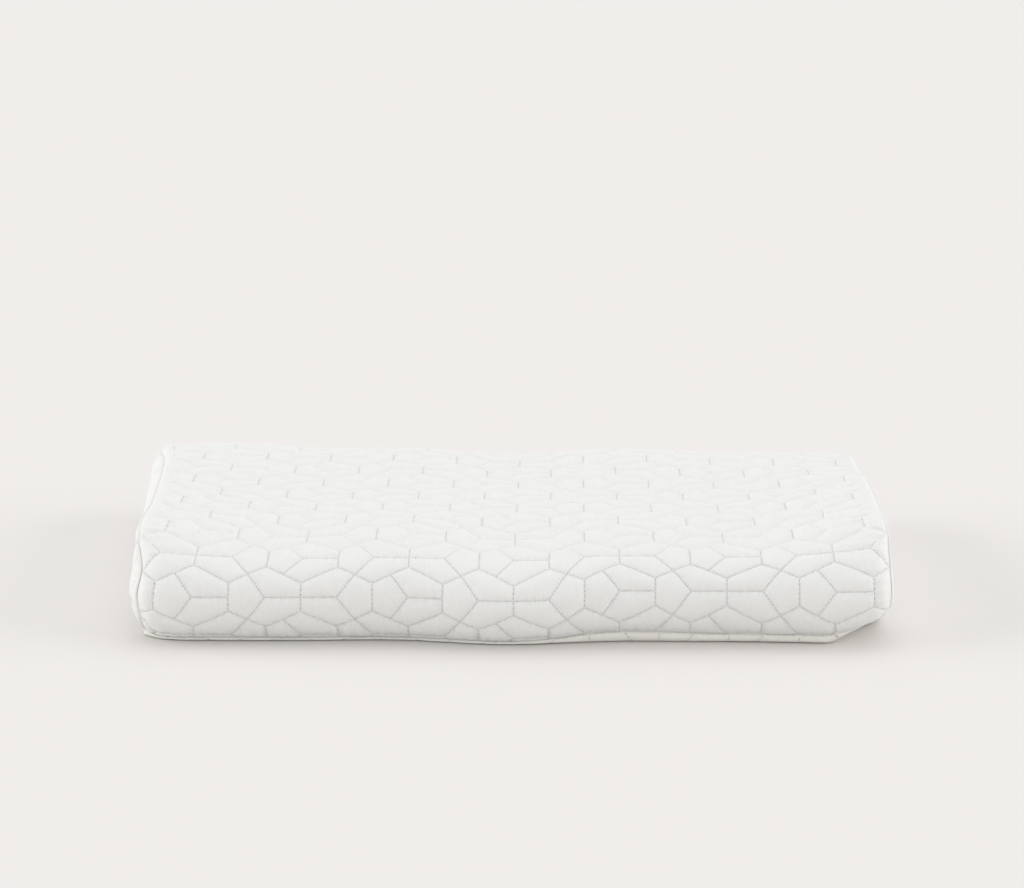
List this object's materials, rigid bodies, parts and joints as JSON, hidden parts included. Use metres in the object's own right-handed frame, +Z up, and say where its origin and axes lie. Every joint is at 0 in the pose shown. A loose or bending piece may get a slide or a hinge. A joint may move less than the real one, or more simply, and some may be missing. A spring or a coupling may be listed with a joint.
{
  "type": "cervical pillow",
  "caption": "Contoured neck pillow with a rounded nose and a flat base, in a puffed, quilted knit cover with sewn ends and base.",
  "frame": {"origin": "centre of the pillow's box at its base, on the surface it rests on", "axes": "+X along the pillow's length, +Y from the rounded nose to the back, +Z up"},
  "size_m": [0.6458, 0.3966, 0.0918],
  "materials": {
    "quilted_knit": "off-white ribbed knit with pale grey stitching, matt",
    "base_knit": "slightly warmer off-white ribbed knit, matt"
  },
  "bodies": {
    "root": {"pillow_body": "quilted_knit", "end_panel_left": "quilted_knit", "end_panel_right": "quilted_knit", "base_panel": "base_knit"}
  },
  "joints": []
}
